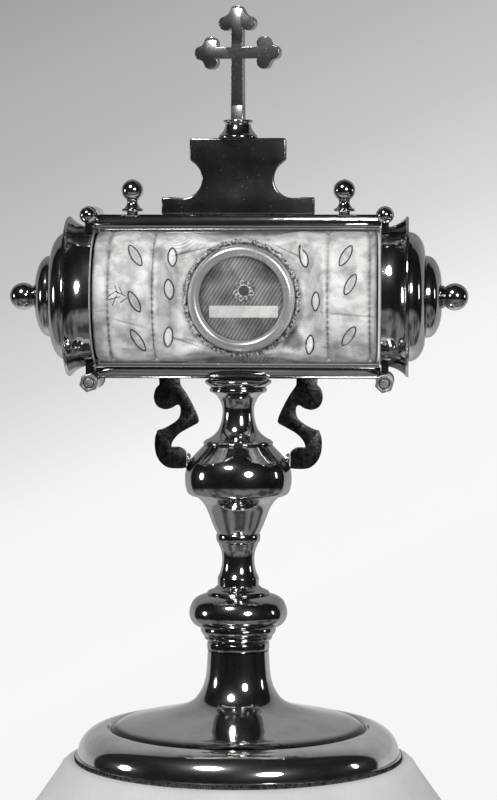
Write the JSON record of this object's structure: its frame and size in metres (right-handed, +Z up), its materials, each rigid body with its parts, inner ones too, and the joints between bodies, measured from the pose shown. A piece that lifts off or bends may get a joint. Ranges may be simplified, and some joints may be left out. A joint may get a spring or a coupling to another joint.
{
  "type": "monstrance reliquary",
  "caption": "Turned metal stem and round foot carrying a horizontal glass tube with hinged domed caps, a silk-covered roll with a round case inside, and a pediment with a cross.",
  "frame": {"origin": "centre of the object's footprint, on the plane that the foot stands on", "axes": "+Z up; X along the glass tube, with +X to the right seen from the front; -Y is the front"},
  "size_m": [0.1952, 0.1406, 0.3208],
  "materials": {
    "silvered_metal": "polished, silvered, lightly worn",
    "worn_metal": "dull, darkened in the recesses",
    "tube_glass": "clear, polished",
    "case_glass": "clear, polished",
    "ivory_silk": "padded satin weave",
    "grey_silk": "diagonally ribbed silk",
    "metal_thread": "glittering metal thread",
    "paper": "matt, bare",
    "limewood": "plain turned wood",
    "felt": "soft felt"
  },
  "bodies": {
    "root": {"foot": "silvered_metal", "neck_collar": "silvered_metal", "lower_knop": "silvered_metal", "lower_spool": "silvered_metal", "cup": "silvered_metal", "upper_knop": "silvered_metal", "upper_spool": "silvered_metal", "tie_rod": "worn_metal", "rod_washer": "worn_metal", "rod_nut": "worn_metal", "upper_rail": "silvered_metal", "lower_rail": "silvered_metal", "left_bracket": "worn_metal", "right_bracket": "worn_metal", "left_boss": "silvered_metal", "right_boss": "silvered_metal", "left_knob": "silvered_metal", "right_knob": "silvered_metal", "pediment": "silvered_metal", "cross_socket": "silvered_metal", "cross": "silvered_metal", "left_hinge_bolt": "worn_metal", "right_hinge_bolt": "worn_metal", "left_hinge_nut": "worn_metal", "right_hinge_nut": "worn_metal", "glass_tube": "tube_glass", "silk_roll": "ivory_silk", "roll_core": "limewood", "theca_case": "worn_metal", "theca_disc": "grey_silk", "theca_label": "paper", "theca_flower": "metal_thread", "theca_glass": "case_glass", "theca_ring": "silvered_metal", "braid_trim": "metal_thread"},
    "left_cap": {"left_collar": "silvered_metal", "left_dome": "silvered_metal", "left_finial": "silvered_metal", "left_finial_nut": "worn_metal", "left_gasket": "felt"},
    "right_cap": {"right_collar": "silvered_metal", "right_dome": "silvered_metal", "right_finial": "silvered_metal", "right_finial_nut": "worn_metal", "right_gasket": "felt"},
    "left_pin": {"left_pin": "silvered_metal"},
    "right_pin": {"right_pin": "silvered_metal"}
  },
  "joints": [
    {"name": "left_cap_hinge", "type": "hinge", "parent": "root", "child": "left_cap", "pos_m": [-0.0623, 0, 0.162], "axis": [0, -1, 0], "range_deg": [0, 150]},
    {"name": "left_pin_slide", "type": "slide", "parent": "left_cap", "child": "left_pin", "axis": [0, -1, 0], "range_m": [0, 0.028]},
    {"name": "right_cap_hinge", "type": "hinge", "parent": "root", "child": "right_cap", "pos_m": [0.0623, 0, 0.162], "axis": [0, 1, 0], "range_deg": [0, 150]},
    {"name": "right_pin_slide", "type": "slide", "parent": "right_cap", "child": "right_pin", "axis": [0, -1, 0], "range_m": [0, 0.028]}
  ]
}
